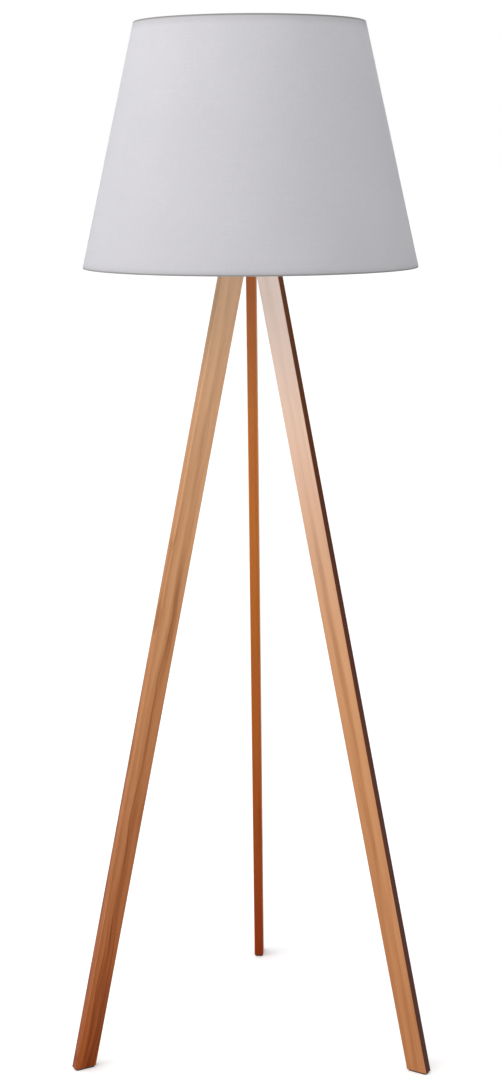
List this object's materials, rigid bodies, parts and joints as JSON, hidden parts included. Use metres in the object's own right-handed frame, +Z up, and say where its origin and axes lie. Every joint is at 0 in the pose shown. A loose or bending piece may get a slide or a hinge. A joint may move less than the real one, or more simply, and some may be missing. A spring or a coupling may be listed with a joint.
{
  "type": "tripod floor lamp",
  "caption": "Floor lamp on three straight splayed timber legs, with a tapered drum shade on a threaded lampholder above a round hub.",
  "frame": {"origin": "floor plane, middle of the lamp's overall box", "axes": "+Z up; -Y is the front, between the left and right legs; the rear leg points along +Y"},
  "size_m": [0.495, 0.5075, 1.411],
  "materials": {
    "leg_timber": "satin lacquer",
    "hub_timber": "satin lacquer",
    "zinc_steel": "zinc plated",
    "black_steel": "black powder coat",
    "white_wire": "white powder coat",
    "shade_cloth": "plain woven",
    "shade_laminate": "matt",
    "glide_nylon": "satin moulding",
    "holder_plastic": "satin moulding",
    "ceramic": "glazed",
    "brass_contact": "plain",
    "nickel_shell": "plated",
    "bulb_plastic": "satin",
    "bulb_glass": "opal",
    "nylon": "matt",
    "board": "coated"
  },
  "bodies": {
    "hub": {"clevis_left": "black_steel", "clevis_right": "black_steel", "clevis_rear": "black_steel", "hub_disc": "hub_timber", "clevis_screws": "zinc_steel", "pivot_bolts": "black_steel", "pivot_nuts": "black_steel", "pivot_washers": "nylon", "threaded_tube": "zinc_steel", "tube_washer": "zinc_steel", "tube_nut": "zinc_steel", "cord_bush": "nylon", "holder_washer": "zinc_steel", "holder_cap": "holder_plastic", "holder_core": "ceramic", "holder_skirt": "holder_plastic", "screw_shell": "nickel_shell", "centre_contact": "brass_contact", "terminal_screws": "brass_contact"},
    "leg_left_body": {"leg_left": "leg_timber", "leg_bush_left": "nylon", "foot_pad_left": "glide_nylon", "foot_pin_left": "zinc_steel"},
    "leg_right_body": {"leg_right": "leg_timber", "leg_bush_right": "nylon", "foot_pad_right": "glide_nylon", "foot_pin_right": "zinc_steel"},
    "leg_rear_body": {"leg_rear": "leg_timber", "leg_bush_rear": "nylon", "foot_pad_rear": "glide_nylon", "foot_pin_rear": "zinc_steel"},
    "shade": {"shade_liner": "shade_laminate", "shade_fabric": "shade_cloth", "shade_bottom_wire": "white_wire", "shade_top_wire": "white_wire", "shade_fitter": "white_wire", "shade_bottom_hem": "shade_cloth", "shade_top_hem": "shade_cloth"},
    "ring": {"shade_ring": "holder_plastic"},
    "bulb_carriage": {"bulb_tip": "nickel_shell"},
    "bulb": {"bulb_insulator": "nylon", "bulb_screw_cap": "nickel_shell", "bulb_body": "bulb_plastic", "bulb_led_board": "board", "bulb_globe": "bulb_glass"},
    "switch": {"switch_knob": "holder_plastic", "switch_spindle": "holder_plastic", "switch_cam": "holder_plastic"}
  },
  "joints": [
    {"name": "leg_left_fold", "type": "hinge", "parent": "hub", "child": "leg_left_body", "pos_m": [-0.022, -0.0414, 1.102], "axis": [0.5, -0.866, 0], "range_deg": [0, 12.4]},
    {"name": "leg_right_fold", "type": "hinge", "parent": "hub", "child": "leg_right_body", "pos_m": [0.022, -0.0414, 1.102], "axis": [0.5, 0.866, 0], "range_deg": [0, 12.4]},
    {"name": "leg_rear_fold", "type": "hinge", "parent": "hub", "child": "leg_rear_body", "pos_m": [0, -0.0033, 1.102], "axis": [-1, 0, 0], "range_deg": [0, 12.4]},
    {"name": "shade_turn", "type": "hinge", "parent": "hub", "child": "shade", "pos_m": [0, -0.0287, 1.1688], "axis": [0, 0, 1], "continuous": true},
    {"name": "shade_ring_turn", "type": "hinge", "parent": "hub", "child": "ring", "pos_m": [0, -0.0287, 1.1718], "axis": [0, 0, 1], "range_deg": [0, 900]},
    {"name": "bulb_turn", "type": "hinge", "parent": "bulb_carriage", "child": "bulb", "pos_m": [0, -0.0287, 1.1689], "axis": [0, 0, 1], "range_deg": [0, 1800]},
    {"name": "bulb_rise", "type": "slide", "parent": "hub", "child": "bulb_carriage", "axis": [0, 0, 1], "range_m": [0, 0.0182]},
    {"name": "switch_knob_turn", "type": "hinge", "parent": "hub", "child": "switch", "pos_m": [0.0235, -0.0287, 1.1565], "axis": [1, 0, 0], "continuous": true}
  ],
  "couplings": [
    {"joint": "bulb_rise", "follows": "bulb_turn", "m_per_rad": 0.00057757}
  ]
}
